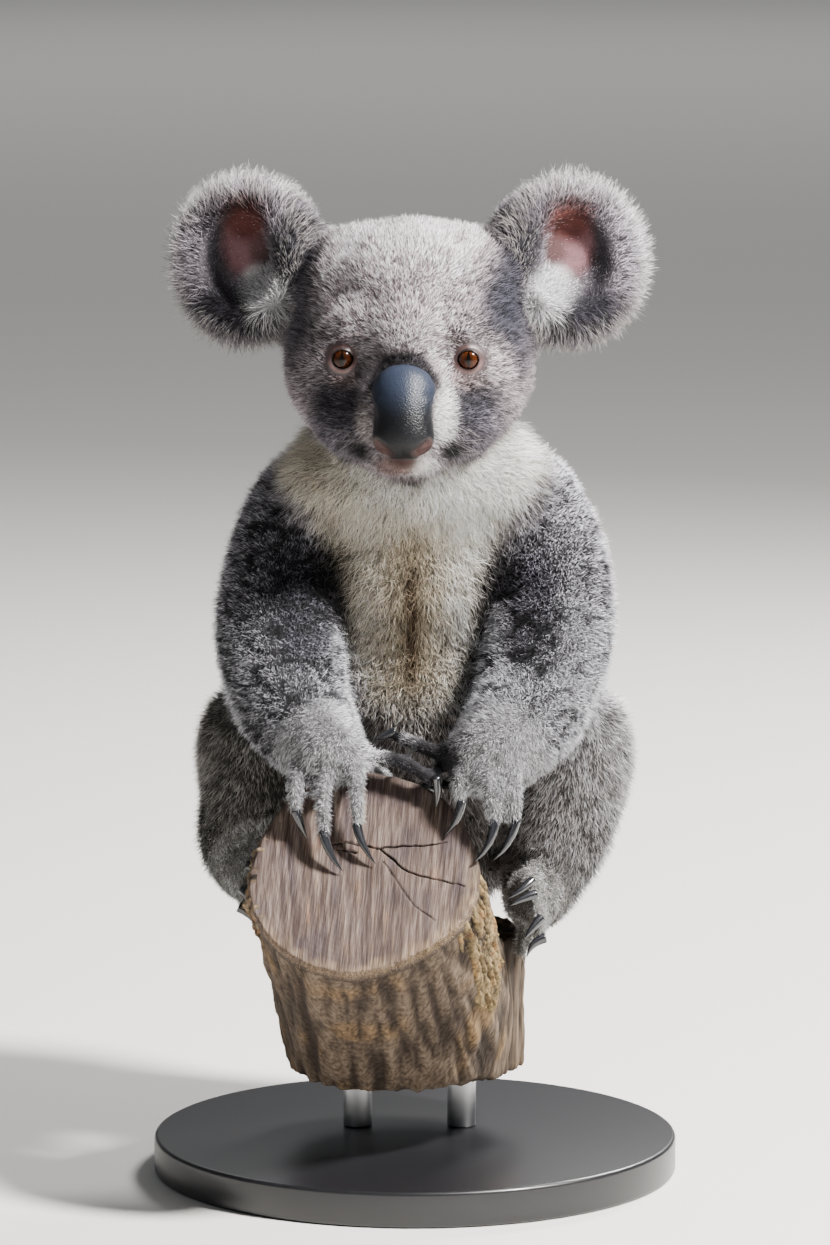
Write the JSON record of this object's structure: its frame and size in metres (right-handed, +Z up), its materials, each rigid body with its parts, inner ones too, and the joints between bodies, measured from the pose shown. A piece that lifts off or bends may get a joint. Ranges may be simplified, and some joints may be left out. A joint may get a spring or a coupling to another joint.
{
  "type": "seated koala figure",
  "caption": "Life-size still koala sitting with drawn-up knees, gripping the rim of a leaning sawn log that stands on a round display base.",
  "frame": {"origin": "middle of the underside of the round stand base", "axes": "+Z up, +Y towards the animal's back, +X towards the animal's left side"},
  "size_m": [0.29, 0.3144, 0.5537],
  "materials": {
    "grey_coat": "soft woolly coat of grey-brown fur",
    "pale_coat": "soft creamy white bib",
    "nose_leather": "pebbled blue-black nose leather",
    "eye_amber": "wet amber-brown eye",
    "claw_horn": "smooth dark horn",
    "log_wood": "weathered sawn wood and rough bark",
    "stand_lacquer": "satin black board",
    "stand_steel": "brushed rods"
  },
  "bodies": {
    "root": {"stand_base": "stand_lacquer", "stand_rod_left": "stand_steel", "stand_rod_right": "stand_steel", "perch_log": "log_wood", "head": "grey_coat", "nose_pad": "nose_leather", "neck": "pale_coat", "trunk": "grey_coat", "ear_left": "grey_coat", "eye_left": "eye_amber", "upper_arm_left": "grey_coat", "forearm_left": "grey_coat", "hand_left": "grey_coat", "thigh_left": "grey_coat", "shin_left": "grey_coat", "foot_left": "grey_coat", "claw_hand_left_1": "claw_horn", "claw_hand_left_2": "claw_horn", "claw_hand_left_3": "claw_horn", "claw_hand_left_4": "claw_horn", "claw_hand_left_5": "claw_horn", "claw_foot_left_2": "claw_horn", "claw_foot_left_3": "claw_horn", "claw_foot_left_4": "claw_horn", "claw_foot_left_5": "claw_horn", "ear_right": "grey_coat", "eye_right": "eye_amber", "upper_arm_right": "grey_coat", "forearm_right": "grey_coat", "hand_right": "grey_coat", "thigh_right": "grey_coat", "shin_right": "grey_coat", "foot_right": "grey_coat", "claw_hand_right_1": "claw_horn", "claw_hand_right_2": "claw_horn", "claw_hand_right_3": "claw_horn", "claw_hand_right_4": "claw_horn", "claw_hand_right_5": "claw_horn", "claw_foot_right_2": "claw_horn", "claw_foot_right_3": "claw_horn", "claw_foot_right_4": "claw_horn", "claw_foot_right_5": "claw_horn"}
  },
  "joints": []
}
